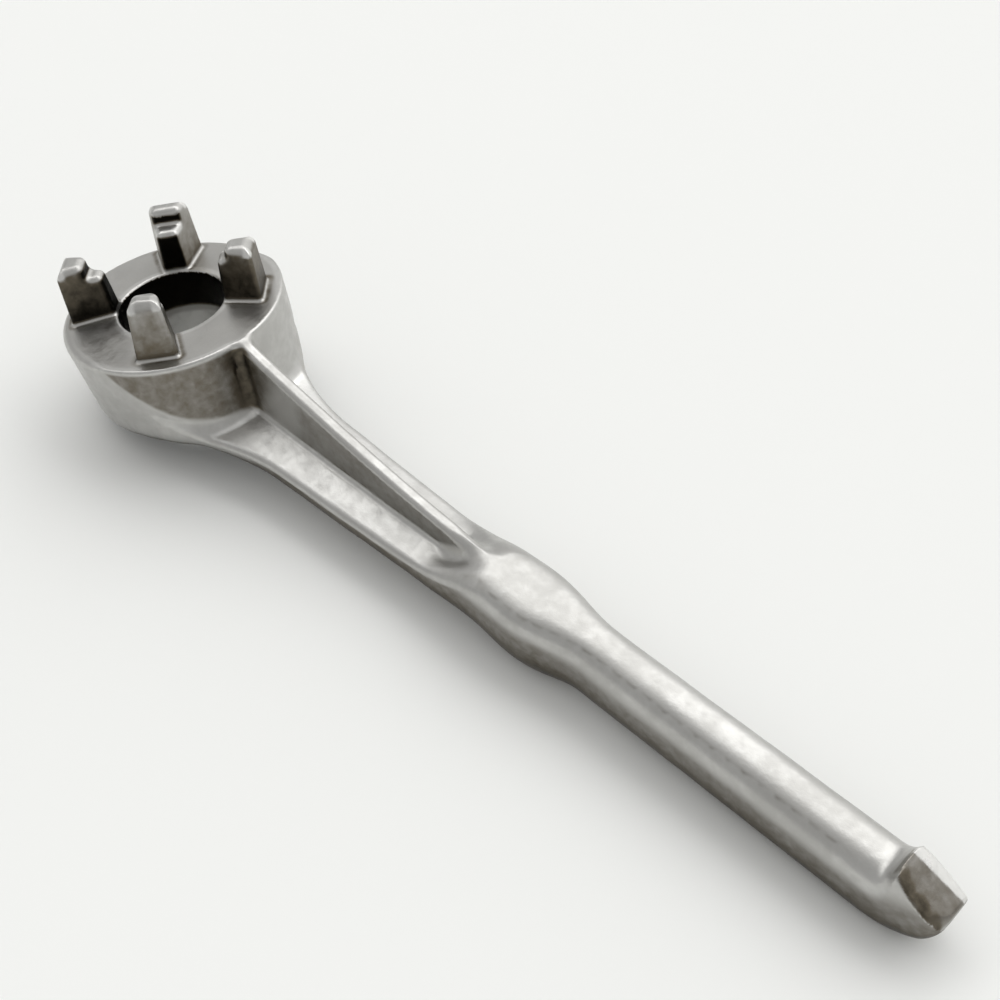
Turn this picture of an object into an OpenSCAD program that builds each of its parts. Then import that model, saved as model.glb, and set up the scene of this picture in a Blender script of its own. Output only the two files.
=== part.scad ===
// Drum plug wrench: a one-piece aluminium casting.
// A bored round head with four stepped lugs leans back on a long handle.
// The handle runs from a ribbed neck through a palm swell and a grip to a pry tip.
// The part lies on its heel and its tip, lugs up, with the handle along +X.

/* [Head] */
// Outer diameter of the head at the lug face
head_d = 60; // [54:0.5:68]
// Height of the head along its bore
head_h = 29.2; // [26:0.1:33]
// Diameter that the drafted side of the head reaches at the underside
head_foot_d = 53; // [48:0.2:56]
// Radius that rounds the underside edge of the head
heel_r = 8.5; // [5:0.1:10]
// Diameter of the bore through the head
bore_d = 28.8; // [24:0.1:32]
// Lean of the bore axis from square to the handle, in degrees
head_tilt = 12; // [8:0.5:15]
// Depth of the head's underside below the neck floor, along the bore
head_drop = 13.8; // [12.5:0.1:15.5]
// Distance from the bore axis at which the upright wall leaves the rim
wall_start = 7; // [3:0.5:12]
// Depth of the upright wall's lower edge below the neck floor, beside the head
wall_drop = 1.1; // [0.6:0.1:3]

/* [Lugs] */
// Height of a lug above the lug face
lug_h = 15; // [12:0.1:18]
// Height of the lug's lower inner tread
tread_h = 10.9; // [8:0.1:11.5]
// Radius to the outer foot of a lug
lug_out_r = 25.3; // [24:0.1:26.5]
// Radius at which the tread steps up
lug_step_r = 20.2; // [19.5:0.1:22]
// Land between the bore and the inner foot of a lug
lug_land = 0.4; // [0.2:0.1:1.5]
// Width of a lug at its outer foot
lug_out_w = 11.4; // [9:0.1:12.5]
// Width of a lug at its inner foot
lug_in_w = 6; // [5:0.1:6.6]
// Draft on every side of a lug, in degrees
lug_draft = 3; // [2:0.5:5]
// Turn of the first lug from the handle, in degrees
lug_turn = 43; // [40:1:50]

/* [Neck] */
// Distance from the bore axis to the end of the neck floor
neck_len = 97; // [85:1:115]
// Width of the neck where it meets the palm swell
neck_w = 20.2; // [18:0.1:21]
// Widening of each side of the neck towards the head, in degrees
neck_taper = 2.5; // [1:0.1:3]
// Radius of the flare where the neck meets the head
flare_r = 50; // [44:1:70]
// Distance from the bore axis at which the flare begins
flare_at = 50; // [46:1:54]
// Depth of the neck below its floor where it meets the head
root_keel = 8.4; // [7.5:0.1:8.8]
// Thickness of the upright rib
rib_t = 3.2; // [2.4:0.1:5]
// Drop of the rib's crest below the head's rim
rib_drop = 0.5; // [0.2:0.1:3]
// Power of the curve that the rib's crest follows
rib_curve = 1.5; // [1.2:0.05:2]

/* [Handle] */
// Depth of the handle below the parting plane
keel = 9.8; // [9:0.1:11]
// Height of the handle above the parting plane
crown = 8.3; // [7:0.1:9]
// Length of the ramp from the neck floor up to the palm swell
ramp_len = 11; // [8:0.5:14]
// Length of the palm swell, with its ramp
swell_len = 50; // [46:1:56]
// Distance from the ramp's foot to the widest place of the swell
swell_at = 29; // [25:0.5:32]
// Narrowing of each side at the waist, halfway to the widest place
waist_dip = 0.5; // [0:0.1:1]
// Width of the palm swell
swell_w = 19.6; // [17:0.1:22]
// Drop of the belly under the palm swell
belly_drop = 2.8; // [0.5:0.1:3]
// Distance from the ramp's foot to the deepest place of the belly
belly_at = 34; // [30:0.5:36]
// Half length of the belly
belly_len = 16; // [12:0.5:17]
// Length of the straight grip
grip_len = 77; // [60:1:100]
// Width of the grip beside the palm swell
grip_w = 13.4; // [11:0.1:15]
// Width of the grip beside the tip
butt_w = 14.4; // [12:0.1:16]
// Squareness of the upper half of a section, 2 being an ellipse
crown_power = 2.4; // [2:0.1:4]
// Squareness of the lower half of a section, 2 being an ellipse
keel_power = 3.2; // [2:0.1:4]

/* [Tip] */
// Length of the pry tip
tip_len = 17.5; // [15:0.5:22]
// Length of the scoop that climbs to the lip
scoop_len = 4.5; // [3.5:0.5:6]
// Height of the lip above the grip
lip_rise = 4.2; // [2:0.1:5]
// Height of the end edge's top above the parting plane
edge_top = 4.7; // [3.5:0.1:5.5]
// Thickness of the end edge
edge_t = 1.6; // [1:0.1:2.4]
// Width of the end edge
edge_w = 11; // [9.5:0.1:12.5]
// Length of the rounded nose under the tip
nose_len = 13.5; // [10:0.5:13.5]
// Squareness of the tip's sections
tip_power = 4; // [3:0.1:5]

/* [Hidden] */

aluminium = [0.74, 0.73, 0.71];
aluminium_dark = [0.62, 0.61, 0.59];

// Points on one half of a section, and steps along arcs, ramp and stations
half_points = 16;
ramp_steps = 4;
arc_steps = 10;
crest_steps = 24;
station_step = 3;

// Head values, measured from the bore axis and the underside
head_r = head_d/2;
side_lean = atan((head_d - head_foot_d)/2/head_h);
heel_at = head_foot_d/2 + heel_r*tan(side_lean) - heel_r/cos(side_lean);
seat_h = head_h - head_drop;
lug_in_r = bore_d/2 + lug_land;
foot_lean = tan(side_lean);
wall_foot = (head_foot_d/2 + head_drop*foot_lean)/(1 + foot_lean*tan(head_tilt));
wall_fall = head_h - head_drop + wall_foot*tan(head_tilt) + wall_drop;
wall_slope = atan(wall_fall/(wall_foot - wall_start));

// Stations along the handle, measured from the bore axis
root_at = head_r*0.6;
swell_end = neck_len + swell_len;
grip_end = swell_end + grip_len;
tip_end = grip_end + tip_len;
lip_at = grip_end + scoop_len;
lip_top = crown + lip_rise;
nose_at = tip_end - nose_len;
edge_mid = edge_top - edge_t/2;
crest_end = neck_len + ramp_len;
ramp_stations = [for (i = [0:ramp_steps]) neck_len + ramp_len*i/ramp_steps];

// The place on the head's wall where the rib's crest begins
rim_at = head_r*cos(head_tilt) - (seat_h - rib_drop)*sin(head_tilt);
rim_h = head_r*sin(head_tilt) + (seat_h - rib_drop)*cos(head_tilt);

// The part rests on the heel and the tip, and is centred over its outline
heel_x = -heel_at*cos(head_tilt) - (heel_r - head_drop)*sin(head_tilt);
heel_h = -heel_at*sin(head_tilt) + (heel_r - head_drop)*cos(head_tilt);
rest_tilt = atan((-heel_h + heel_r - keel)/(nose_at - heel_x));
rest_lift = heel_r + heel_x*sin(rest_tilt) - heel_h*cos(rest_tilt);
back_x = -head_r*cos(head_tilt) - seat_h*sin(head_tilt);
back_h = -head_r*sin(head_tilt) + seat_h*cos(head_tilt);
back_end = back_x*cos(rest_tilt) + back_h*sin(rest_tilt);
front_end = tip_end*cos(rest_tilt) + edge_top*sin(rest_tilt);
rest_shift = -(back_end + front_end)/2;

function clamp01(u) = min(max(u, 0), 1);
function ease(u) = let (c = clamp01(u)) c*c*(3 - 2*c);
function mix(a, b, u) = a + (b - a)*u;
function bump(u) = pow(cos(90*min(abs(u), 1)), 2);
function share(t, from, span) = clamp01((t - from)/span);
function stations(from, to) =
    let (n = ceil((to - from)/station_step))
    [for (i = [0:n]) mix(from, to, i/n)];

// Half width of the neck floor, with its straight taper and its flare
function neck_half(t) =
    neck_w/2 + (neck_len - t)*tan(neck_taper)
    + (t < flare_at ? flare_r - sqrt(pow(flare_r, 2) - pow(flare_at - t, 2)) : 0);

// Half width of the handle at its parting plane
function half_width(t) =
    let (peak = neck_len + swell_at)
    t < neck_len ? neck_half(t)
    : t < peak ? mix(neck_w/2, swell_w/2, ease(share(t, neck_len, swell_at)))
        - waist_dip*bump(2*share(t, neck_len, swell_at) - 1)
    : t < swell_end ? mix(swell_w/2, grip_w/2, ease(share(t, peak, swell_end - peak)))
    : t < grip_end ? mix(grip_w/2, butt_w/2, share(t, swell_end, grip_len))
    : mix(butt_w/2, edge_w/2, ease(share(t, grip_end, tip_len)));

// Height of the middle of a section, level until the nose lifts it to the edge
function mid_height(t) = edge_mid*ease(share(t, nose_at, nose_len));

// Height of the top: the ramp, the level crown, the scoop and the slope
function top_height(t) =
    t < grip_end ? crown*mix(0.06, 1, ease(share(t, neck_len, ramp_len)))
    : t < lip_at ? mix(crown, lip_top, ease(share(t, grip_end, scoop_len)))
    : mix(lip_top, edge_top, share(t, lip_at, tip_end - lip_at));

// Height of the bottom: the root, the level keel, the belly and the round nose
function bottom_height(t) =
    let (
        root = mix(root_keel, keel, ease(share(t, root_at, flare_at - root_at))),
        belly = belly_drop*bump((t - neck_len - belly_at)/belly_len),
        edge_low = edge_top - edge_t,
        nose = sqrt(1 - pow(share(t, nose_at, nose_len), 2))
    )
    t < nose_at ? -root - belly : edge_low - (edge_low + keel)*nose;

// Height of the rib's crest, from the head's rim down to the crown
function crest_height(t) =
    crown + (rim_h - crown)*pow(1 - share(t, rim_at, crest_end - rim_at), rib_curve);

// Squareness of the upper half, rising over the scoop
function upper_power(t) = mix(crown_power, tip_power, ease(share(t, grip_end, scoop_len)));

// One point of a rounded section, for an angle that turns from +Y over the top
function section_point(t, angle) =
    let (
        upper = angle <= 180,
        power = upper ? upper_power(t) : keel_power,
        mid = mid_height(t),
        reach = upper ? top_height(t) - mid : bottom_height(t) - mid,
        c = cos(angle),
        s = abs(sin(angle))
    )
    [t, half_width(t)*sign(c)*pow(abs(c), 2/power), mid + reach*pow(s, 2/power)];

// Points of a closed section, and of the lower half of one
function full_section(t) =
    [for (i = [0:2*half_points - 1]) section_point(t, 180*i/half_points)];
function lower_section(t) =
    [for (i = [0:half_points]) section_point(t, 180 + 180*i/half_points)];

// Places its children in the frame of the handle, on the parting plane
module in_handle() {
    translate([rest_shift, 0, rest_lift])
        rotate([0, rest_tilt, 0])
            children();
}

// Places its children in the frame of the head, on its underside
module in_head() {
    in_handle()
        rotate([0, -head_tilt, 0])
            translate([0, 0, -head_drop])
                children();
}

// A solid skin over a row of sections that have the same number of points
module loft(rows) {
    count = len(rows[0]);
    last = len(rows) - 1;
    skin = [
        for (j = [0:last - 1], i = [0:count - 1])
            let (a = j*count + i, b = j*count + (i + 1)%count)
            each [[a, b, b + count], [a, b + count, a + count]]
    ];
    start_cap = [[for (i = [count - 1:-1:0]) i]];
    end_cap = [[for (i = [0:count - 1]) last*count + i]];
    polyhedron([for (row = rows) each row], concat(skin, start_cap, end_cap));
}

// Outline of the head from its axis, with the drafted side and the rounded heel
module head_outline() {
    arc = [
        for (i = [0:arc_steps])
            let (angle = -90 + (90 - side_lean)*i/arc_steps)
            [heel_at + heel_r*cos(angle), heel_r + heel_r*sin(angle)]
    ];
    polygon(concat([[0, 0]], arc, [[head_r, head_h], [0, head_h]]));
}

// The head without its bore: the drafted body and the upright wall at the neck
module head_body() {
    rotate_extrude($fn = 128)
        head_outline();
    intersection() {
        cylinder(h = head_h, r = head_r, $fn = 128);
        translate([wall_start, -head_d, head_h])
            rotate([0, wall_slope, 0])
                cube(2*head_d);
    }
}

module head_ring() {
    color(aluminium)
        in_head()
            difference() {
                head_body();
                translate([0, 0, -head_h])
                    cylinder(h = 3*head_h, d = bore_d, $fn = 96);
            }
}

// One lug: a stepped outline along the radius, drafted on all its sides.
// The outline starts at its inward corner, so that each side face divides cleanly.
module lug(angle) {
    lean = tan(lug_draft);
    widening = (lug_out_w - lug_in_w)/2/(lug_out_r - lug_in_r);
    outline = [
        [lug_step_r, tread_h],
        [lug_in_r + tread_h*lean, tread_h],
        [lug_in_r, 0],
        [lug_out_r, 0],
        [lug_out_r - lug_h*lean, lug_h],
        [lug_step_r + (lug_h - tread_h)*lean, lug_h]
    ];
    corners = len(outline);
    half = [for (p = outline) lug_in_w/2 + (p[0] - lug_in_r)*widening - p[1]*lean];
    left = [for (i = [0:corners - 1]) [outline[i][0], half[i], outline[i][1]]];
    right = [for (i = [0:corners - 1]) [outline[i][0], -half[i], outline[i][1]]];
    edges = [
        for (i = [0:corners - 1])
            let (k = (i + 1)%corners)
            [i, k, corners + k, corners + i]
    ];
    left_face = [concat([0], [for (i = [corners - 1:-1:1]) i])];
    right_face = [[for (i = [0:corners - 1]) corners + i]];
    in_head()
        translate([0, 0, head_h])
            rotate([0, 0, angle])
                polyhedron(concat(left, right), concat(edges, left_face, right_face));
}

module lug_rear_right() {
    color(aluminium_dark) lug(lug_turn);
}

module lug_front_right() {
    color(aluminium_dark) lug(180 - lug_turn);
}

module lug_front_left() {
    color(aluminium_dark) lug(180 + lug_turn);
}

module lug_rear_left() {
    color(aluminium_dark) lug(-lug_turn);
}

// The neck's floor plate, flared into the head and flat on top
module neck_flange() {
    color(aluminium)
        difference() {
            in_handle()
                loft([for (t = stations(root_at, neck_len)) lower_section(t)]);
            in_head()
                head_body();
        }
}

// The upright rib, whose crest falls from the head's rim to the palm swell
module neck_rib() {
    inset = 3;
    root_top = [rim_at - inset*cos(head_tilt), rim_h - inset*sin(head_tilt)];
    ramp = [for (i = [ramp_steps - 1:-1:0]) ramp_stations[i]];
    crest = [for (i = [0:crest_steps]) mix(rim_at, ramp[0], i/crest_steps)];
    outline = concat(
        [[root_at, 0], root_top],
        [for (t = crest) [t, crest_height(t)]],
        [for (t = ramp) [t, top_height(t)]],
        [[neck_len, 0]]
    );
    color(aluminium_dark)
        difference() {
            in_handle()
                rotate([90, 0, 0])
                    linear_extrude(rib_t, center = true)
                        polygon(outline);
            in_head()
                head_body();
        }
}

// The palm swell, which starts with the ramp at the end of the neck floor
module palm_swell() {
    past_ramp = [for (t = stations(crest_end, swell_end)) if (t > crest_end) t];
    color(aluminium)
        in_handle()
            loft([for (t = concat(ramp_stations, past_ramp)) full_section(t)]);
}

module grip_bar() {
    color(aluminium)
        in_handle()
            loft([for (t = [swell_end, grip_end]) full_section(t)]);
}

module pry_tip() {
    color(aluminium_dark)
        in_handle()
            loft([for (t = concat(stations(grip_end, lip_at), tip_stations)) full_section(t)]);
}

// Stations of the tip's slope, closer together towards the edge
tip_stations = [for (i = [1:arc_steps]) mix(lip_at, tip_end, sin(90*i/arc_steps))];

head_ring();
lug_rear_right();
lug_front_right();
lug_front_left();
lug_rear_left();
neck_flange();
neck_rib();
palm_swell();
grip_bar();
pry_tip();
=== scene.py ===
"""Looks of the drum plug wrench: a one-piece aluminium casting on a pale floor.

The casting is one smooth skin with fillets at every join, so its surface is the zero level of a
distance field that numpy works out on a grid. The skin is cut along the CAD nodes' borders, and
each cut piece is closed, named after its node and dressed with the same tumbled finish, which
also paints light and shade into its colour.
"""
from __future__ import annotations

import logging
import math
from dataclasses import dataclass, field
from enum import Enum
from typing import Any

import bmesh
import bpy
import numpy as np
from mathutils import Matrix, Vector

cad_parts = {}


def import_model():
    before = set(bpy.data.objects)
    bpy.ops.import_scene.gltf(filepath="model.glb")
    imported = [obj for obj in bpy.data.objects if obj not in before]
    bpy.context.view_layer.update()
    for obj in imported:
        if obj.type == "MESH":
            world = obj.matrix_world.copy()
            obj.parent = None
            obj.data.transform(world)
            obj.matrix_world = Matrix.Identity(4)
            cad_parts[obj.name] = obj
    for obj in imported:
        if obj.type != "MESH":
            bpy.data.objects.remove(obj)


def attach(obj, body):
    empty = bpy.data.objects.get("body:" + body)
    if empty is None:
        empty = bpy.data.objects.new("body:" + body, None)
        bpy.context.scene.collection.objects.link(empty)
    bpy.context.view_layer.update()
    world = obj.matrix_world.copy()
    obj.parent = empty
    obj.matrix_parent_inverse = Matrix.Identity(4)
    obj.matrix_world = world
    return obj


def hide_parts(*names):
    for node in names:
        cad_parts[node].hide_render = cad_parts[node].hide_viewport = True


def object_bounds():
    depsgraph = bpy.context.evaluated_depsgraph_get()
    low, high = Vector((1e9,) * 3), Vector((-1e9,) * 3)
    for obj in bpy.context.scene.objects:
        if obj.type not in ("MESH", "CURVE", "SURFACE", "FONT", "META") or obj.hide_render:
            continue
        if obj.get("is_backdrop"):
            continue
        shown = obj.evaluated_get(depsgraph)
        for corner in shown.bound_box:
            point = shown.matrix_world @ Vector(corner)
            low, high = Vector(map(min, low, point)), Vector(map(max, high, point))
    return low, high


LOG = logging.getLogger("wrench")
Array = np.ndarray
BMesh = bmesh.types.BMesh
Pair = tuple[float, float]
Colour = tuple[float, float, float, float]
MM = 0.001
INSET = 0.02


class Node(Enum):
    """The casting's named pieces."""

    HEAD_RING = 0
    LUG_REAR_RIGHT = 1
    LUG_FRONT_RIGHT = 2
    LUG_FRONT_LEFT = 3
    LUG_REAR_LEFT = 4
    NECK_FLANGE = 5
    NECK_RIB = 6
    PALM_SWELL = 7
    GRIP_BAR = 8
    PRY_TIP = 9


class Axis(Enum):
    """What a flat cut keeps at one value: the handle's station or height, or the head's x or z."""

    STATION = 0
    HEIGHT = 1
    HEAD_X = 2
    HEAD_Z = 3


def share(t: Array, start: Any, span: float) -> Array:
    """How far t has gone from start over span, held between 0 and 1."""
    return np.clip((t - start) / span, 0.0, 1.0)


def ease(u: Array) -> Array:
    """A smooth step: 3u squared minus 2u cubed."""
    return u * u * (3.0 - 2.0 * u)


def fade(t: Array, start: Any, span: float) -> Array:
    """An eased share: 0 up to start, 1 from start plus span on."""
    return ease(share(t, start, span))


def fade_out(t: Array, end: Any, span: float) -> Array:
    """An eased fall: 1 until span before the end, 0 from the end on."""
    return fade(end - t, 0.0, span)


def mix(a: Any, b: Any, u: Any) -> Any:
    """The value at share u between a and b."""
    return a + (b - a) * u


def cos_sin(angle: float) -> tuple[float, float]:
    """Cosine and sine of an angle in degrees."""
    return math.cos(math.radians(angle)), math.sin(math.radians(angle))


def swelling(u: Array) -> Array:
    """A hump of height 1 at u = 0 that falls to 0 at u = 1, as a squared cosine."""
    return np.cos(0.5 * np.pi * np.minimum(np.abs(u), 1.0)) ** 2


def round_join(a: Array, b: Array, r: Any) -> Array:
    """Joins two distance fields; a quarter circle of radius r fills their corner."""
    fillet = np.hypot(np.maximum(r - a, 0.0), np.maximum(r - b, 0.0))
    return np.maximum(r, np.minimum(a, b)) - fillet


def round_common(a: Array, b: Array, r: Any) -> Array:
    """Keeps what lies in both distance fields; the edge between them is rounded to radius r."""
    edge = np.hypot(np.maximum(r + a, 0.0), np.maximum(r + b, 0.0))
    return np.minimum(-r, np.maximum(a, b)) + edge


@dataclass(frozen=True)
class Rest:
    """How the casting lies: the turn and the shift from the handle's frame, in mm and degrees."""

    tilt: float = 1.8262244
    shift: float = -104.63933
    lift: float = 17.06530

    def to_handle(self, p: Array) -> tuple[Array, Array, Array]:
        """Coordinates along, across and above the handle's parting plane.

        Args:
            p: Points in the row frame, in mm, with x, y and z on the last axis.

        Returns:
            The station t from the bore axis, the side y and the height h.
        """
        c, s = cos_sin(self.tilt)
        x, z = p[..., 0] - self.shift, p[..., 2] - self.lift
        return x * c - z * s, p[..., 1], x * s + z * c


@dataclass
class Head:
    """The bored round head: drafted sides, a rounded heel and an upright wall at the neck."""

    outer_r: float = 30.0
    foot_r: float = 26.5
    height: float = 29.2
    heel_r: float = 8.5
    bore_r: float = 14.4
    tilt: float = 12.0
    drop: float = 13.8
    wall_start: float = 7.0
    wall_drop: float = 1.1
    rim_round: float = 0.7
    front_round: float = 2.6
    bore_round: float = 0.7
    crease_soft: float = 0.8
    crease_turn: float = 2.0
    bore_shade_from: float = 17.5
    bore_shade_fade: float = 1.5
    wall_film: float = 0.42
    corner_painted_shade: float = 0.3
    face_film: float = 0.13
    film_foot: Pair = (-0.5, 0.8)
    film_r: Pair = (28.6, 36.0)
    pit_at: Pair = (-3.6, 22.0)
    pit_size: Pair = (0.75, 1.7)
    pit_x: Pair = (27.0, 32.0)
    pit_depth: float = 0.5

    def frame(self, t: Array, h: Array) -> tuple[Array, Array]:
        """Turns the handle's t and h into x and z of the head, z from its underside."""
        c, s = cos_sin(self.tilt)
        return t * c + h * s, h * c - t * s + self.drop

    def crease(self, x: Array) -> Array:
        """Height over x of the parting line, which falls from the lug face to the handle's plane.

        It is the higher one of a straight slope and the handle's parting plane, with a round turn
        between them, and it stays under the lug face.

        Args:
            x: Places along the head.

        Returns:
            Heights over the head's underside.
        """
        lean = math.tan(math.radians(self.tilt))
        draft = (self.outer_r - self.foot_r) / self.height
        foot = (self.foot_r + self.drop * draft) / (1.0 + draft * lean)
        fall = self.height - self.drop + foot * lean + self.wall_drop
        slope = self.height - (x - self.wall_start) * fall / (foot - self.wall_start)
        over = slope - self.drop + x * lean
        over = 0.5 * (over + np.sqrt(over * over + self.crease_turn**2))
        return np.minimum(self.drop - x * lean + over, self.height)

    def side(self, x: Array, y: Array, z: Array) -> Array:
        """Distance to the head's side and heel, without its lug face and bore.

        The side is a cylinder above the parting line. Below, it draws in by the draft for each
        millimetre of depth, and it meets the underside over the heel's radius.

        Args:
            x, y, z: Places in the head's frame.

        Returns:
            Distances, negative inside.
        """
        depth = self.crease(x) - z
        depth = 0.5 * (depth + np.sqrt(depth * depth + self.crease_soft**2))
        side = np.hypot(x, y) - self.outer_r + depth * (self.outer_r - self.foot_r) / self.height
        return round_common(side, -z, self.heel_r)

    def topped(self, solid: Array, x: Array, z: Array) -> Array:
        """Cuts a solid off at the lug face; the rim is crisp at the neck and round at the front."""
        rim = mix(self.front_round, self.rim_round, fade(x, 0.0, 9.0))
        return round_common(solid, z - self.height, rim)

    def in_bore(self, x: Array, y: Array) -> Array:
        """How surely a place is on the bore's wall, from 0 to 1."""
        return fade_out(np.hypot(x, y), self.bore_r + 1.0, 0.6)

    def bright_wear_and_light(self, x: Array, y: Array, z: Array) -> Array:
        """How bright the lower bore is painted, from 0 to 1: painted light for the lit floor seen through it.
        """
        # Painted light below the black painted shade of the upper bore.
        return self.in_bore(x, y) * fade_out(z, self.bore_shade_from - 0.5, self.bore_shade_fade)

    def pit(self, x: Array, y: Array, z: Array) -> Array:
        """A casting flaw in the near wall beside the rib: a bell of height 1 over y and z.

        Args:
            x, y, z: Places in the head's frame.

        Returns:
            How deep each place is in it, from 0 to 1.
        """
        (y_0, z_0), (wide, high) = self.pit_at, self.pit_size
        bell = np.exp(-(((y - y_0) / wide) ** 2) - ((z - z_0 + 0.5 * np.sin(4.0 * y)) / high) ** 2)
        return bell * (x > self.pit_x[0]) * (x < self.pit_x[1])

    def dirt_and_painted_shade(self, x: Array, y: Array, z: Array) -> Array:
        """How dark the head is painted: black painted shade in the upper bore, and brown on the near wall
        over the crease.

        The wall is darkest in its corner with the rib, where the dark is painted shade, and in its pit.
        The lug face has a thin film.

        Args:
            x, y, z: Places in the head's frame.

        Returns:
            The darkening, from 0 to 1.
        """
        r = np.hypot(x, y)
        # Painted shade: the upper bore, which lies in shade, is painted black.
        bore = self.in_bore(x, y) * fade(z, self.bore_shade_from, self.bore_shade_fade) * (z < self.height - 0.4)
        foot = mix(*self.film_foot, fade(y, -24.0, 12.0))
        over = fade(z - self.crease(x), foot, 2.2) * fade_out(z, self.height - 0.6, 1.0)
        wall = fade(r, self.film_r[0], 0.8) * fade_out(r, self.film_r[1], 4.0) * fade(-y, 0.5, 1.2)
        # Painted shade in the corner between the near wall and the rib.
        corner = self.corner_painted_shade * fade(y, -8.0, 5.0) * fade(x, 24.0, 4.0)
        face = self.face_film * fade_out(np.abs(z - self.height), 0.8, 0.5) * (r < 29.0)
        wall = np.maximum((self.wall_film + corner) * over, self.pit(x, y, z)) * wall
        return np.maximum(np.maximum(bore, face), wall)

    def bored(self, solid: Array, x: Array, y: Array) -> Array:
        """Takes the bore out of a solid and rounds its edges."""
        return round_common(solid, self.bore_r - np.hypot(x, y), self.bore_round)


@dataclass
class Lug:
    """One stepped lug that stands on the lug face, trimmed by hand, so each has its own sizes."""

    turn: float
    height: float
    tread: float
    out_r: float
    step_r: float
    in_r: float
    out_w: float
    in_w: float
    flank_painted_shade: float
    shift: float = 0.0
    lean_out: float = 0.0
    lean_side: float = 0.0
    draft_in: float = 0.04
    draft_out: float = 0.03
    draft_side: float = 0.065
    edge: float = 1.2
    top_edge: float = 1.7
    outer_edge: float = 3.0
    step_fillet: float = 1.2
    foot_fillet: float = 0.8
    inner_painted_shade: float = 1.0

    def field(self, x: Array, y: Array, z: Array) -> Array:
        """Distance to the lug, with z measured from the lug face.

        The lug is the common part of its drafted outer, inner and side planes and of a stepped
        crown: the tread's plane joined with the taller block beyond the step. Its middle leans
        outwards and sideways with the height.

        Args:
            x, y: Places in the head's frame.
            z: Heights over the lug face.

        Returns:
            Distances, negative inside.
        """
        c, s = cos_sin(self.turn)
        u = x * c + y * s - self.lean_out * z
        v = y * c - x * s - self.shift - self.lean_side * z
        flare = (self.out_w - self.in_w) / 2.0 / (self.out_r - self.in_r)
        outer = u - self.out_r + z * self.draft_out
        inner = self.in_r - u + z * self.draft_in
        flank = np.abs(v) - self.in_w / 2.0 - (u - self.in_r) * flare + z * self.draft_side
        flank = flank / math.hypot(1.0, flare)
        riser = self.step_r - u + (z - self.tread) * self.draft_in
        tall = round_common(z - self.height, riser, self.top_edge)
        crown = round_join(z - self.tread, tall, self.step_fillet)
        body = round_common(round_common(outer, inner, self.edge), flank, self.edge)
        outward = fade(u, self.step_r, self.out_r - self.step_r)
        top = mix(self.top_edge, self.outer_edge, outward)
        return np.maximum(round_common(body, crown, top), -z - 2.0)

    def dirt_and_painted_shade(self, x: Array, y: Array, z: Array, out: Array, up: Array) -> Array:
        """How dark a place on the lug's sides is painted with shade, from 0 to 1.

        Args:
            x, y: Places in the head's frame.
            z: Heights over the lug face.
            out: How far the surface faces away from the bore axis, from -1 to 1.
            up: How far it faces along the bore axis.

        Returns:
            The inner face's painted shade where the surface faces the bore, else that of the flanks,
            which fades from the foot to the top.
        """
        c, s = cos_sin(self.turn)
        near = fade_out(self.field(x, y, z), 1.2, 1.0) * fade(z, 0.5, 0.9)
        inward = fade(-out, 0.45, 0.3) * (z < self.tread + 2.4)
        # Painted shade on the flanks, set for each lug and darkest at the foot.
        flank = self.flank_painted_shade * mix(1.0, 0.55, share(z, 0.0, self.height))
        upright = fade(1.0 - np.abs(up), 0.35, 0.4)
        ahead = x * c + y * s > 8.0
        return near * upright * ahead * mix(flank, self.inner_painted_shade, inward)


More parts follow.
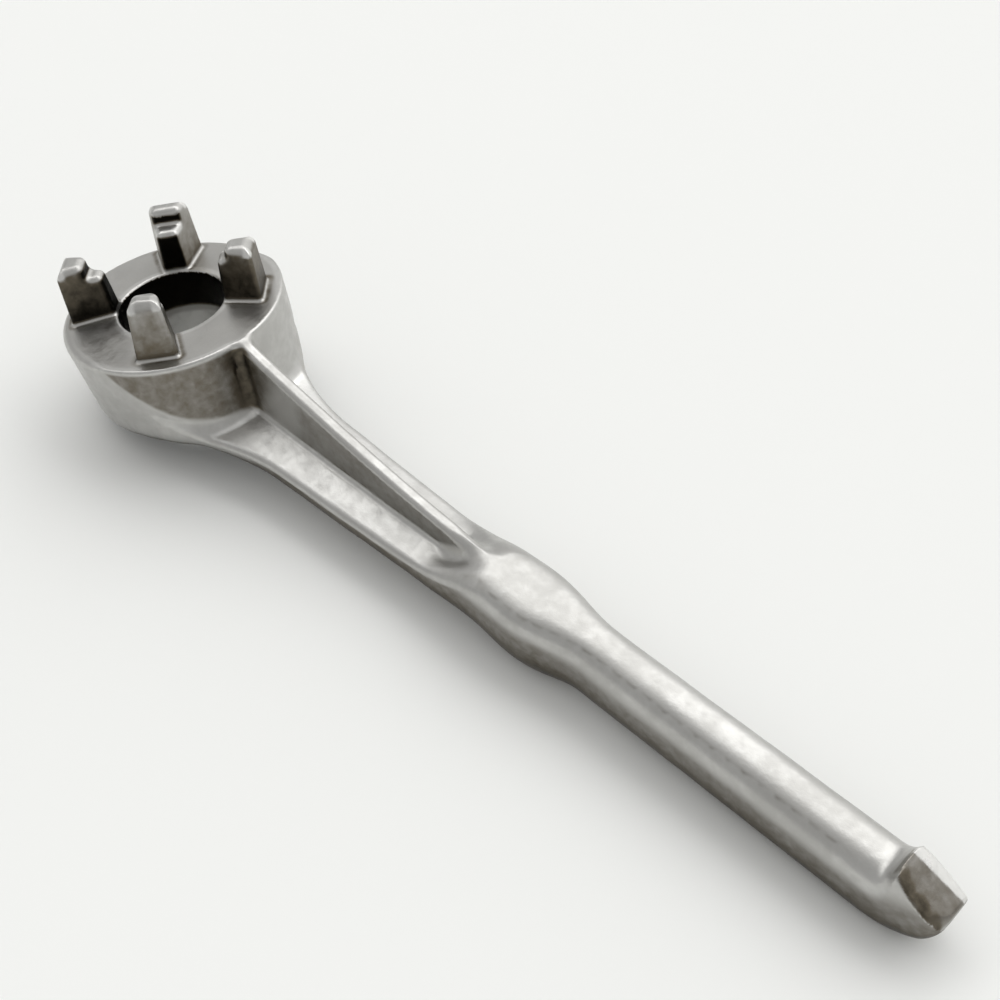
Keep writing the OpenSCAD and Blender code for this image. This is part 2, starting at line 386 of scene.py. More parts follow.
@dataclass
class Handle:
    """The handle from the neck to the pry tip, as one bar of rounded sections with two pockets."""

    neck_len: float = 97.0
    neck_w: float = 20.2
    neck_taper: float = 2.5
    flare_r: float = 56.0
    flare_at: float = 50.0
    root_keel: float = 8.4
    root_at: float = 18.0
    root_circle: float = 29.7
    root_dive: float = 0.09
    root_switch: float = 19.0
    rim_at: float = 26.2466
    rim_h: float = 20.8119
    rib_half: float = 1.9
    rib_lean: float = 0.03
    rib_curve: float = 1.5
    keel: float = 9.8
    crown: float = 8.3
    crest_end: float = 108.0
    swell_at: float = 29.0
    swell_len: float = 50.0
    waist_dip: float = 0.5
    swell_w: float = 19.6
    belly_drop: float = 2.8
    belly_at: float = 34.0
    belly_len: float = 16.0
    grip_len: float = 77.0
    grip_w: float = 13.4
    butt_w: float = 14.4
    crown_power: float = 2.8
    swell_flat: float = 0.7
    flat_len: float = 26.0
    keel_power: float = 3.2
    tip_power: float = 4.0
    tip_len: float = 17.5
    scoop_len: float = 4.5
    scoop_start: float = -1.0
    scoop_span: float = 6.0
    scoop_power: float = 3.6
    scoop_over: float = 1.4
    lip_rise: float = 4.2
    edge_top: float = 4.7
    edge_t: float = 1.6
    edge_w: float = 11.8
    nose_len: float = 13.5
    ramp_rib: float = 107.0
    ramp_edge: float = 99.0
    ramp_steep: float = 1.0
    ramp_rise: float = 0.5
    ramp_soft: float = 5.0
    floor_top: float = 1.0
    floor_fall: float = 0.19
    end_fillet: float = 4.5
    foot_fillet: float = 1.2
    rib_edge: float = 1.3
    rim_edge: float = 1.7
    ramp_round: float = 1.4
    lip_edge: float = 0.7
    near_edge: float = 0.8
    far_edge: float = 0.7
    strip_w: float = 2.3
    strip_lean: float = 18.0
    strip_lip: float = 3.9
    strip_end: float = 5.7
    end_edge: float = 0.8
    end_corner: float = 4.2
    rib_end: float = 106.0
    line_end: float = 222.0
    lit_floor_span: Pair = (25.0, 104.0)
    root_film: float = 0.5
    rib_film: float = 0.16
    line_painted_reflection: float = 0.17
    lip_painted_shade: float = 0.36
    slope_film: float = 0.39
    blotch_film: float = 0.30
    root_painted_light: float = 0.8
    floor_painted_light: float = 0.25

    @property
    def swell_end(self) -> float:
        """Station at which the grip begins."""
        return self.neck_len + self.swell_len

    @property
    def grip_end(self) -> float:
        """Station at which the pry tip begins."""
        return self.swell_end + self.grip_len

    @property
    def lip_at(self) -> float:
        """Station of the tip's lip, at which its slope begins."""
        return self.grip_end + self.scoop_len

    @property
    def tip_end(self) -> float:
        """Station of the end edge."""
        return self.grip_end + self.tip_len

    def half_width(self, t: Array) -> Array:
        """Half width at the parting plane: root circle, flare, taper, swell, grip and tip in turn.

        Args:
            t: Stations along the handle.

        Returns:
            Half widths.
        """
        peak = self.neck_len + self.swell_at
        flare = self.flare_r - np.sqrt(self.flare_r**2 - np.clip(self.flare_at - t, 0.0, 40.0) ** 2)
        neck = self.neck_w / 2.0 + (self.neck_len - t) * math.tan(math.radians(self.neck_taper)) + flare
        circle = self.root_circle - self.root_dive * np.clip(self.root_switch - t, 0.0, 16.0) ** 2
        root = np.sqrt(np.maximum(circle**2 - t**2, 4.0))
        to_peak = share(t, self.neck_len, self.swell_at)
        rise = mix(self.neck_w / 2.0, self.swell_w / 2.0, ease(to_peak))
        rise = rise - self.waist_dip * swelling(2.0 * to_peak - 1.0)
        fall = mix(self.swell_w / 2.0, self.grip_w / 2.0, fade(t, peak, self.swell_end - peak))
        grip = mix(self.grip_w / 2.0, self.butt_w / 2.0, share(t, self.swell_end, self.grip_len))
        tip = mix(self.butt_w / 2.0, self.edge_w / 2.0, fade(t, self.grip_end, self.tip_len))
        bounds = (self.root_switch, self.neck_len, peak, self.swell_end, self.grip_end)
        return np.select([t < b for b in bounds], (root, neck, rise, fall, grip), tip)

    def middle(self, t: Array) -> Array:
        """Height of a section's widest place, level until the nose lifts it."""
        edge_mid = self.edge_top - self.edge_t / 2.0
        return edge_mid * fade(t, self.tip_end - self.nose_len, self.nose_len)

    def top(self, t: Array) -> Array:
        """Height of the top: the rib's crest falls to the crown, which climbs the scoop to the lip.

        Args:
            t: Stations along the handle.

        Returns:
            Heights over the parting plane.
        """
        along = share(t, self.rim_at, self.crest_end - self.rim_at)
        crest = self.crown + (self.rim_h - self.crown) * (1.0 - along) ** self.rib_curve
        climb = share(t, self.grip_end + self.scoop_start, self.scoop_span)
        return crest + (self.lip_rise + self.scoop_over) * climb**self.scoop_power

    def bottom(self, t: Array) -> Array:
        """Height of the underside: the root, the level keel, the belly and the round nose.

        Args:
            t: Stations along the handle.

        Returns:
            Heights over the parting plane.
        """
        root = mix(self.root_keel, self.keel, fade(t, self.root_at, self.flare_at - self.root_at))
        belly = self.belly_drop * swelling((t - self.neck_len - self.belly_at) / self.belly_len)
        low = self.edge_top - self.edge_t
        nose = np.sqrt(1.0 - share(t, self.tip_end - self.nose_len, self.nose_len) ** 2)
        return np.where(t < self.tip_end - self.nose_len, -root - belly, low - (low + self.keel) * nose)

    def bar(self, t: Array, y: Array, h: Array) -> Array:
        """Distance to the bar of superellipse sections.

        With a and b the side and height as shares of the section's reach, the gauge q is the
        p-th root of a to the p plus b to the p. It is 1 on the surface, and q - 1 over the length of
        its slope is close to the distance.

        Args:
            t, y, h: Places in the handle's frame.

        Returns:
            Distances, negative inside.
        """
        mid, w = self.middle(t), self.half_width(t)
        upper = h > mid
        reach = np.maximum(np.where(upper, self.top(t) - mid, mid - self.bottom(t)), 0.3)
        blunt = fade(t, self.lip_at, self.tip_len - self.scoop_len)
        flat = self.swell_flat * swelling((t - self.neck_len - self.swell_at) / self.flat_len)
        power = np.where(upper, mix(self.crown_power, self.tip_power, blunt) + flat, self.keel_power)
        a, b = np.abs(y) / w, np.abs(h - mid) / reach
        q = np.maximum((a**power + b**power) ** (1.0 / power), 1e-4)
        slope = np.hypot((a / q) ** (power - 1.0) / w, (b / q) ** (power - 1.0) / reach)
        return (q - 1.0) / np.maximum(slope, 1e-4)

    def pocket(self, t: Array, y: Array, h: Array, floor: Array) -> Array:
        """Distance to the two pockets beside the rib.

        The floor falls a little from the rib to the edge, and at the swell it climbs a ramp that
        starts earlier and is gentler at the edge than at the rib.

        Args:
            t, y, h: Places in the handle's frame.
            floor: Distances below the level floor.

        Returns:
            Distances, negative in the pockets.
        """
        side = np.abs(y)
        outward = fade(side, self.rib_half, 6.0)
        run = t - mix(self.ramp_rib, self.ramp_edge, outward)
        steep = mix(self.ramp_steep, self.ramp_rise, outward)
        ramp = 0.5 * steep * (run + np.sqrt(run * run + self.ramp_soft**2))
        low = floor + ramp + self.floor_top - self.floor_fall * np.maximum(side - self.rib_half, 0.0)
        rib = self.rib_half + self.rib_lean * np.maximum(self.top(t) - h, 0.0)
        fillet = mix(self.foot_fillet, self.end_fillet, fade(t, 96.0, 9.0))
        return round_common(low, rib - side, fillet)

    def field(self, t: Array, y: Array, h: Array, floor: Array) -> Array:
        """Distance to the whole handle: the bar less its pockets, cut by the tip's slope and end.

        Args:
            t, y, h: Places in the handle's frame.
            floor: Distances below the level floor.

        Returns:
            Distances, negative inside.
        """
        body = self.bar(t, y, h)
        edge = mix(self.rib_edge, self.rim_edge, fade(np.abs(y), 4.0, 4.0))
        edge = edge + self.ramp_round * fade(t, 98.0, 10.0)
        body = round_common(body, -self.pocket(t, y, h, floor), edge)
        lip_top = self.crown + self.lip_rise
        fall = math.atan2(lip_top - self.edge_top, self.tip_end - self.lip_at)
        slope = (h - lip_top) * math.cos(fall) + (t - self.lip_at) * math.sin(fall)
        edge = mix(self.near_edge, self.far_edge, fade(y, -2.0, 4.0))
        edge = mix(self.lip_edge, edge, fade(t, self.lip_at, 3.0))
        c, s = cos_sin(self.strip_lean)
        strip = slope * c + (y - self.strip_start(t)) * s
        body = round_common(body, round_common(slope, strip, 0.5), edge)
        end = mix(self.end_corner, self.end_edge, fade(y, -5.5, 5.0))
        return round_common(body, t - self.tip_end, end)

    def slope_half(self, t: Array) -> Array:
        """Half width of the tip's slope, which widens from the lip to the end edge."""
        return mix(self.strip_lip, self.strip_end, share(t, self.lip_at, self.tip_len - self.scoop_len))

    def strip_start(self, t: Array) -> Array:
        """Side at which the strip along the slope's far edge begins; the strip has a painted highlight."""
        return self.slope_half(t) - self.strip_w * cos_sin(self.strip_lean)[0]

    def bright_wear_and_light(self, t: Array, y: Array, up: Array) -> Array:
        """How bright the strip along the slope's far edge and the neck's floor are painted: a painted
        highlight on the strip, painted light on the floor.

        Args:
            t, y: Stations and sides.
            up: How far the skin faces upwards, from -1 to 1.

        Returns:
            The painted light, from 0 to 1.
        """
        past_lip = fade(t, self.lip_at - 0.6, 0.8)
        # Painted highlight on the strip along the slope's far edge.
        strip = fade(y - self.strip_start(t), 0.0, 0.5) * past_lip * fade(up, 0.25, 0.3)
        # Painted light on the neck's upward floor, strongest near the head.
        floor = fade(t, self.lit_floor_span[0], 6.0) * fade_out(t, self.lit_floor_span[1], 12.0)
        floor = floor * fade(up, 0.74, 0.14) * fade(np.abs(y), 2.4, 0.8)
        return np.maximum(strip, floor * mix(self.root_painted_light, self.floor_painted_light, fade(t, 34.0, 14.0)))

    def dirt_and_painted_shade(self, t: Array, y: Array, h: Array, normals: Array) -> Array:
        """How dark the handle is painted, from 0 to 1.

        Args:
            t, y, h: Places in the handle's frame.
            normals: Unit normals of the skin.

        Returns:
            The largest of four: a brown film on the rib's near face, darker at the head; a painted dark
            reflection along the grip's near shoulder; painted shade over the highlight of the tip's lip; and
            a film on its slope, with blotches along the near edge.
        """
        near, up, along = -normals[:, 1], normals[:, 2], normals[:, 0]
        rib = fade(near, 0.6, 0.3) * (np.abs(y) < 3.5) * fade(h, 1.5, 2.0)
        rib = rib * mix(self.root_film, self.rib_film, fade(t, 28.0, 14.0)) * (t < self.rib_end)
        ragged = np.sin(1.4 * t + 0.5 * y) + 0.6 * np.sin(0.57 * t - 1.1 * y + 1.0)
        ragged = ragged + 0.4 * np.sin(2.9 * t + 0.7)
        # A painted dark reflection: a line where the grip's skin turns halfway to the near side.
        line = np.exp(-(((near - 0.5 - 0.03 * ragged) / 0.1) ** 2)) * (up > 0.0)
        line = line * fade(t, self.rib_end, 8.0) * fade_out(t, self.line_end, 8.0)
        line = line * (self.line_painted_reflection + 0.06 * ragged)
        slope = fade(along, 0.14, 0.2) * fade(up, 0.2, 0.25) * (t > self.lip_at)
        edge = y + self.slope_half(t)
        blotch = fade_out(np.abs(edge - 0.3), 2.4 + 0.25 * ragged, 2.2)
        slope = slope * (self.slope_film + (self.blotch_film + 0.06 * ragged) * blotch)
        # Painted shade that dulls the highlight on the tip's lip.
        lip = fade_out(np.abs(y), 4.6, 1.6) * fade_out(np.abs(t - self.lip_at), 1.1, 0.6)
        lip = self.lip_painted_shade * lip * (h > self.crown + 1.5)
        return np.maximum(np.maximum(rib, line), np.maximum(lip, slope))


@dataclass
class Unevenness:
    """The slight waviness of a sand casting: plane waves with fixed directions and phases."""

    waves: int = 14
    shortest: float = 7.0
    longest: float = 26.0
    depth: float = 0.16
    seed: int = 11

    def height(self, p: Array) -> Array:
        """Sum of the sine waves; longer waves are higher.

        Args:
            p: Points, in mm.

        Returns:
            Heights, in mm.
        """
        rng = np.random.default_rng(self.seed)
        direction = rng.normal(size=(self.waves, 3))
        direction /= np.linalg.norm(direction, axis=1, keepdims=True)
        length = np.geomspace(self.shortest, self.longest, self.waves)
        phase = rng.uniform(0.0, 2.0 * np.pi, self.waves)
        total = np.zeros(p.shape[:-1])
        for d, size, start in zip(direction, length, phase):
            total += size * np.sin((p @ d) * (2.0 * np.pi / size) + start)
        return total * (self.depth / length.sum())


@dataclass
class Casting:
    """The whole wrench as one solid: head, lugs and handle with their fillets."""

    rest: Rest = Rest()
    head: Head = field(default_factory=Head)
    handle: Handle = field(default_factory=Handle)
    wavy: Unevenness = field(default_factory=Unevenness)
    lug_turn: float = 43.0
    handle_from: float = 5.0
    past_head: float = 60.0
    foot_fillet: float = 2.8
    wall_fillet: float = 2.2
    hollow_reach: float = 3.0
    edge_reach: float = 2.2
    edges_end: float = 36.0
    edge_shine: Pair = (0.25, 0.8)
    under_painted_shade: Pair = (0.9, 0.72)
    under_turn: Pair = (0.2, -0.3)
    lugs: list[Lug] = field(init=False)

    def __post_init__(self) -> None:
        """Sets the four lugs at their turns: rear right, front right, front left, rear left."""
        turn = self.lug_turn
        self.lugs = [
            Lug(
                turn, height=15.1, tread=12.1, out_r=25.4, step_r=17.6, in_r=14.6, out_w=11.2,
                in_w=6.3, shift=0.75, lean_out=0.04, lean_side=0.015, draft_in=0.06, flank_painted_shade=0.85,
            ),
            Lug(
                180.0 - turn, height=15.8, tread=11.7, out_r=25.9, step_r=20.0, in_r=14.7, out_w=13.0,
                in_w=6.6, lean_side=-0.03, draft_out=0.022, draft_side=0.06, flank_painted_shade=0.48,
            ),
            Lug(
                180.0 + turn, height=15.9, tread=11.8, out_r=25.9, step_r=18.5, in_r=14.4, out_w=12.8,
                in_w=5.8, lean_out=0.025, lean_side=0.018, draft_side=0.075, flank_painted_shade=0.95,
            ),
            Lug(
                -turn, height=16.3, tread=11.2, out_r=25.5, step_r=18.9, in_r=14.7, out_w=11.4,
                in_w=6.4, shift=-0.9, lean_out=-0.035, lean_side=0.026, draft_out=0.06, flank_painted_shade=0.55,
            ),
        ]

    def field(self, p: Array) -> Array:
        """Distance to the casting, in mm.

        Args:
            p: Points in the row frame, in mm.

        Returns:
            Distances, negative inside the metal.
        """
        t, y, h = self.rest.to_handle(p)
        if float(np.min(t)) > self.past_head:
            return self.handle.field(t, y, h, -h) + self.wavy.height(p)
        x, z = self.head.frame(t, h)
        floor = (self.head.crease(x) - z) * cos_sin(self.head.tilt)[0]
        solid = np.maximum(self.handle.field(t, y, h, floor), self.handle_from - t)
        fillet = mix(self.foot_fillet, self.wall_fillet, fade(z, 8.0, 7.0)) * fade(t, 10.0, 14.0) + 0.05
        solid = round_join(self.head.side(x, y, z), solid, fillet)
        solid = self.head.topped(solid, x, z)
        for lug in self.lugs:
            solid = round_join(solid, lug.field(x, y, z - self.head.height), lug.foot_fillet)
        solid = self.head.bored(solid, x, y) + self.head.pit_depth * self.head.pit(x, y, z)
        return solid + self.wavy.height(p)

    def slope(self, p: Array, reach: float = 0.06) -> Array:
        """Slope of the field at points p, from differences over twice the reach."""
        shifts = np.eye(3) * reach
        return np.stack([self.field(p + d) - self.field(p - d) for d in shifts], axis=-1) / (2.0 * reach)

    def dress(self, p: Array) -> tuple[Array, dict[str, Array]]:
        """Normals, wear, dirt and painted light and shade at points of the skin.

        A place is hollow where a point at the reach out along the normal is nearer to metal than that.

        Args:
            p: Points on the skin, in mm.

        Returns:
            The unit normals, and the hollow, bright wear and light, and dirt and shade values from 0 to 1.
        """
        slope = self.slope(p)
        normals = slope / np.maximum(np.linalg.norm(slope, axis=1, keepdims=True), 1e-6)
        reach = self.hollow_reach
        hollow = np.clip(1.0 - self.field(p + reach * normals) / reach, 0.0, 1.0)
        wear_and_painted_light = {"hollow": hollow, "bright_wear_and_light": self.bright_wear_and_light(p, normals), "dirt_and_painted_shade": self.dirt_and_painted_shade(p, normals)}
        return normals, wear_and_painted_light

    def bright_wear_and_light(self, p: Array, normals: Array) -> Array:
        """How bright the skin is: worn upper edges of the lugs and the rim, and painted light in the
        lower bore, on the neck's floor and along the tip.

        A place is an edge where a point at the reach further in is nearer to the air than that.

        Args:
            p: Points on the skin, in mm.
            normals: Their normals.

        Returns:
            The brightening at each point, from 0 to 1.
        """
        t, y, h = self.rest.to_handle(p)
        x, z = self.head.frame(t, h)
        up = normals[:, 2]
        reach = self.edge_reach
        edge = np.clip(3.0 + 3.0 * self.field(p - reach * normals) / reach, 0.0, 1.0)
        edge = edge * fade(up, 0.15, 0.35) * (t < self.edges_end)
        high = fade(z, self.head.height + 3.0, 2.0)
        wear_and_painted_light = np.maximum(self.head.bright_wear_and_light(x, y, z), self.handle.bright_wear_and_light(t, y, up))
        return np.maximum(edge * mix(*self.edge_shine, high), wear_and_painted_light)

    def dirt_and_painted_shade(self, p: Array, normals: Array) -> Array:
        """How dark the skin is painted, from 0 to 1: painted shade on faces that look down, and the
        head's, the handle's and the lugs' dirt and painted shade.

        Args:
            p: Points on the skin, in mm.
            normals: Their normals.

        Returns:
            The largest of the four at each point.
        """
        t, y, h = self.rest.to_handle(p)
        x, z = self.head.frame(t, h)
        past = share(t, 30.0, 20.0)
        # Painted shade on faces that look down, strongest under the head.
        under = mix(*self.under_painted_shade, past) * fade(-normals[:, 2], mix(*self.under_turn, past), 0.6)
        c, s = cos_sin(self.head.tilt - self.rest.tilt)
        n_x, n_z = normals[:, 0] * c + normals[:, 2] * s, normals[:, 2] * c - normals[:, 0] * s
        out = (n_x * x + normals[:, 1] * y) / np.maximum(np.hypot(x, y), 1.0)
        darkening = np.maximum(under, self.head.dirt_and_painted_shade(x, y, z))
        darkening = np.maximum(darkening, self.handle.dirt_and_painted_shade(t, y, h, normals))
        for lug in self.lugs:
            darkening = np.maximum(darkening, lug.dirt_and_painted_shade(x, y, z - self.head.height, out, n_z))
        return np.clip(darkening, 0.0, 1.0)


@dataclass
class Skin:
    """Points, in mm, and four-sided faces of a meshed field."""

    points: Array
    quads: Array


@dataclass
class SurfaceNet:
    """Turns a distance field into a skin: one point in each grid cell that the surface crosses."""

    low: Array
    high: Array
    step: float = 0.45
    slab: int = 48
    rounds: int = 3
    leap: float = 0.4

    def axes(self) -> tuple[Array, Array, Array]:
        """Grid coordinates along x, y and z, with a margin of two cells."""
        low, high = self.low - 2 * self.step, self.high + 2.5 * self.step
        return tuple(np.arange(a, b, self.step) for a, b in zip(low, high))

    def sample(self, casting: Casting) -> Array:
        """Field values on the grid, worked out slab by slab along x.

        Args:
            casting: The solid.

        Returns:
            The values, by x, y and z.
        """
        xs, ys, zs = self.axes()
        grid = np.empty((len(xs), len(ys), len(zs)), dtype=np.float32)
        for start in range(0, len(xs), self.slab):
            part = xs[start : start + self.slab]
            p = np.stack(np.meshgrid(part, ys, zs, indexing="ij"), axis=-1)
            grid[start : start + self.slab] = casting.field(p)
        return grid

    def points_in_cells(self, grid: Array) -> tuple[Array, Array]:
        """One point per crossed cell: the mean of the places where the cell's edges are crossed.

        Args:
            grid: Field values on the grid.

        Returns:
            The points, and a grid of cells that holds each point's number or -1.
        """
        inside = grid < 0.0
        corners = np.argwhere(np.ones((2, 2, 2)))
        edges = [(a, b) for a in range(8) for b in range(a + 1, 8) if a ^ b in (1, 2, 4)]
        shape = tuple(n - 1 for n in grid.shape)

        def corner(a: Array, at: Array) -> Array:
            """The values of a at one corner of every cell."""
            return a[tuple(slice(o, o + n) for o, n in zip(at, shape))]

        count = sum(corner(inside, at).astype(np.int8) for at in corners)
        cells = np.argwhere((count > 0) & (count < 8))
        values = np.stack([grid[tuple((cells + at).T)] for at in corners], axis=1)
        total, hits = np.zeros((len(cells), 3)), np.zeros(len(cells))
        for a, b in edges:
            cross = (values[:, a] < 0.0) != (values[:, b] < 0.0)
            gap = np.where(cross, values[:, a] - values[:, b], 1.0)
            way = np.where(cross, values[:, a] / gap, 0.0)[:, None]
            total += np.where(cross[:, None], mix(corners[a], corners[b], way), 0.0)
            hits += cross
        origin = np.array([axis[0] for axis in self.axes()])
        points = origin + (cells + total / hits[:, None]) * self.step
        number = np.full(shape, -1, dtype=np.int32)
        number[tuple(cells.T)] = np.arange(len(cells))
        return points, number

    def faces(self, grid: Array, number: Array) -> Array:
        """One outward face per crossed grid edge, through the points of the four cells round it.

        Args:
            grid: Field values on the grid.
            number: The number of each cell's point.

        Returns:
            Four point numbers for each face.
        """
        inside = grid < 0.0
        found = []
        for axis in range(3):
            first, second = (axis + 1) % 3, (axis + 2) % 3
            lower = tuple(slice(None, -1) if d == axis else slice(1, -1) for d in range(3))
            upper = tuple(slice(1, None) if d == axis else slice(1, -1) for d in range(3))
            at = np.argwhere(inside[lower] != inside[upper])
            at[:, first] += 1
            at[:, second] += 1
            out = inside[tuple(at.T)]
            ring = []
            for da, db in ((-1, -1), (0, -1), (0, 0), (-1, 0)):
                cell = at.copy()
                cell[:, first] += da
                cell[:, second] += db
                ring.append(number[tuple(cell.T)])
            quad = np.stack(ring, axis=1)
            found.append(np.where(out[:, None], quad, quad[:, ::-1]))
        return np.concatenate(found)

    def skin(self, casting: Casting) -> Skin:
        """Meshes the casting and settles every point on the surface.

        Args:
            casting: The solid to mesh.

        Returns:
            The closed skin.
        """
        grid = self.sample(casting)
        points, number = self.points_in_cells(grid)
        quads = self.faces(grid, number)
        for _ in range(self.rounds):
            slope = casting.slope(points)
            size = np.maximum(np.sum(slope * slope, axis=1), 0.05)
            move = slope * (casting.field(points) / size)[:, None]
            points = points - np.clip(move, -self.leap * self.step, self.leap * self.step)
        return Skin(np.clip(points, self.low, self.high), quads)


@dataclass(frozen=True)
class Cut:
    """A flat cut between two pieces: a point of the plane, in metres, and its normal."""

    point: Vector
    normal: Vector

    def split(self, mesh: BMesh) -> tuple[BMesh, BMesh]:
        """Cuts a closed mesh in two and closes both halves with flat faces.

        Args:
            mesh: The mesh to cut, which is freed.

        Returns:
            The half behind the plane and the half in front of it.
        """
        halves = (mesh, mesh.copy())
        for half, front in zip(halves, (False, True)):
            parts = half.verts[:] + half.edges[:] + half.faces[:]
            bmesh.ops.bisect_plane(
                half, geom=parts, dist=2e-6, plane_co=self.point, plane_no=self.normal,
                clear_outer=not front, clear_inner=front,
            )
            rim = [edge for edge in half.edges if edge.is_boundary]
            caps = bmesh.ops.holes_fill(half, edges=rim, sides=0)["faces"]
            flag = half.faces.layers.int["cap"]
            for face in bmesh.ops.triangulate(half, faces=caps, ngon_method="EAR_CLIP")["faces"]:
                face[flag] = 1
        return halves


def placed(name: str, data: bpy.types.ID) -> bpy.types.Object:
    """Puts a new object at the origin of the scene.

    Args:
        name: Its name.
        data: Its mesh, lamp or camera.

    Returns:
        The object.
    """
    thing = bpy.data.objects.new(name, data)
    bpy.context.scene.collection.objects.link(thing)
    return thing


@dataclass
class Pieces:
    """The skin cut along the CAD nodes' borders into closed pieces."""

    casting: Casting
    skin: Skin
    seam_x: float = 30.3
    seam_h: float = 3.3
    seam_lug: float = 0.7

    def cut_at(self, axis: Axis, value: float) -> Cut:
        """A cut square to an axis of the handle or the head.

        Args:
            axis: What the cut keeps at one value.
            value: That value, in mm.

        Returns:
            The cut.
        """
        rest, head = self.casting.rest, self.casting.head
        c, s = cos_sin(rest.tilt - (head.tilt if axis in (Axis.HEAD_X, Axis.HEAD_Z) else 0.0))
        normal = Vector((c, 0.0, -s) if axis in (Axis.STATION, Axis.HEAD_X) else (s, 0.0, c))
        way = value - head.drop if axis is Axis.HEAD_Z else value
        return Cut((Vector((rest.shift, 0.0, rest.lift)) + normal * way) * MM, normal)

    def whole(self) -> BMesh:
        """Makes the uncut skin in metres, with a layer that marks the flat faces of the cuts.

        Returns:
            The closed mesh.
        """
        mesh = bpy.data.meshes.new("skin")
        mesh.from_pydata(self.skin.points * MM, [], self.skin.quads)
        solid = bmesh.new()
        solid.from_mesh(mesh)
        bpy.data.meshes.remove(mesh)
        solid.faces.layers.int.new("cap")
        return solid

    def cut(self) -> dict[Node, BMesh]:
        """Cuts the skin from the tip to the lugs.

        Returns:
            One closed mesh for each node.
        """
        handle, head = self.casting.handle, self.casting.head
        front, rear = self.cut_at(Axis.STATION, handle.swell_end).split(self.whole())
        grip, tip = self.cut_at(Axis.STATION, handle.grip_end).split(rear)
        front, swell = self.cut_at(Axis.STATION, handle.neck_len).split(front)
        ring, neck = self.cut_at(Axis.HEAD_X, self.seam_x).split(front)
        flange, rib = self.cut_at(Axis.HEIGHT, self.seam_h).split(neck)
        ring, lugs = self.cut_at(Axis.HEAD_Z, head.height + self.seam_lug).split(ring)
        front_lugs, rear_lugs = self.cut_at(Axis.HEAD_X, 0.0).split(lugs)
        middle = Cut(Vector((0.0, 0.0, 0.0)), Vector((0.0, 1.0, 0.0)))
        front_left, front_right = middle.split(front_lugs)
        rear_left, rear_right = middle.split(rear_lugs)
        return {
            Node.HEAD_RING: ring, Node.LUG_REAR_RIGHT: rear_right, Node.LUG_FRONT_RIGHT: front_right,
            Node.LUG_FRONT_LEFT: front_left, Node.LUG_REAR_LEFT: rear_left, Node.NECK_FLANGE: flange,
            Node.NECK_RIB: rib, Node.PALM_SWELL: swell, Node.GRIP_BAR: grip, Node.PRY_TIP: tip,
        }

    def build(self, node: Node, solid: BMesh, material: bpy.types.Material) -> bpy.types.Object:
        """Makes a piece's object, with the field's own normals and its worn, dirty and painted places.

        Args:
            node: The node that the piece stands for.
            solid: Its closed mesh, which is freed.
            material: The material for every face, with its painted light and shade.

        Returns:
            The object, at the origin and in metres.
        """
        mesh = bpy.data.meshes.new(node.name.lower())
        solid.to_mesh(mesh)
        solid.free()
        mesh.materials.append(material)
        points = np.empty(len(mesh.vertices) * 3, dtype=np.float32)
        mesh.vertices.foreach_get("co", points)
        normals, wear_and_painted_light = self.casting.dress(points.reshape(-1, 3).astype(float) / MM)
        for name, values in wear_and_painted_light.items():
            layer = mesh.attributes.new(name, "FLOAT", "POINT")
            layer.data.foreach_set("value", values.astype(np.float32))
        faces = len(mesh.polygons)
        mesh.polygons.foreach_set("use_smooth", np.ones(faces, dtype=bool))
        cap, sizes = np.empty(faces, dtype=np.int32), np.empty(faces, dtype=np.int32)
        mesh.attributes["cap"].data.foreach_get("value", cap)
        mesh.polygons.foreach_get("loop_total", sizes)
        flat = np.empty(faces * 3, dtype=np.float32)
        mesh.polygons.foreach_get("normal", flat)
        corner = np.empty(len(mesh.loops), dtype=np.int32)
        mesh.loops.foreach_get("vertex_index", corner)
        on_cap = np.repeat(cap, sizes)[:, None] > 0
        split = np.where(on_cap, np.repeat(flat.reshape(-1, 3), sizes, axis=0), normals[corner])
        mesh.attributes.remove(mesh.attributes["cap"])
        mesh.normals_split_custom_set(split.astype(np.float32))
        return placed(node.name.lower() + "_cast", mesh)


class Value:
    """A shader value: wraps an output socket, and arithmetic on it adds Math nodes."""

    def __init__(self, graph: Graph, socket: bpy.types.NodeSocket) -> None:
        """Keeps the graph and the socket."""
        self.graph, self.socket = graph, socket

    def _with(self, kind: str, *terms: Any) -> Value:
        """A Math node of that kind on the terms."""
        sockets = dict(enumerate(terms))
        return self.graph.value("ShaderNodeMath", {"operation": kind}, sockets, "Value")

    def __add__(self, other: Any) -> Value:
        """Sum."""
        return self._with("ADD", self, other)

    __radd__ = __add__

    def __sub__(self, other: Any) -> Value:
        """Difference."""
        return self._with("SUBTRACT", self, other)

    def __rsub__(self, other: Any) -> Value:
        """Difference from a number."""
        return self._with("SUBTRACT", other, self)

    def __neg__(self) -> Value:
        """The value with its sign turned."""
        return self._with("MULTIPLY", self, -1.0)

    def __mul__(self, other: Any) -> Value:
        """Product."""
        return self._with("MULTIPLY", self, other)

    __rmul__ = __mul__

    def __pow__(self, other: Any) -> Value:
        """Power."""
        return self._with("POWER", self, other)

    def limit(self) -> Value:
        """The value held between 0 and 1."""
        return self._with("MINIMUM", self._with("MAXIMUM", self, 0.0), 1.0)

    def step(self, start: float, end: float) -> Value:
        """A smooth step from 0 at start to 1 at end."""
        sockets = {"Value": self, "From Min": start, "From Max": end, "To Min": 0.0, "To Max": 1.0}
        return self.graph.value("ShaderNodeMapRange", {"interpolation_type": "SMOOTHSTEP"}, sockets, "Result")


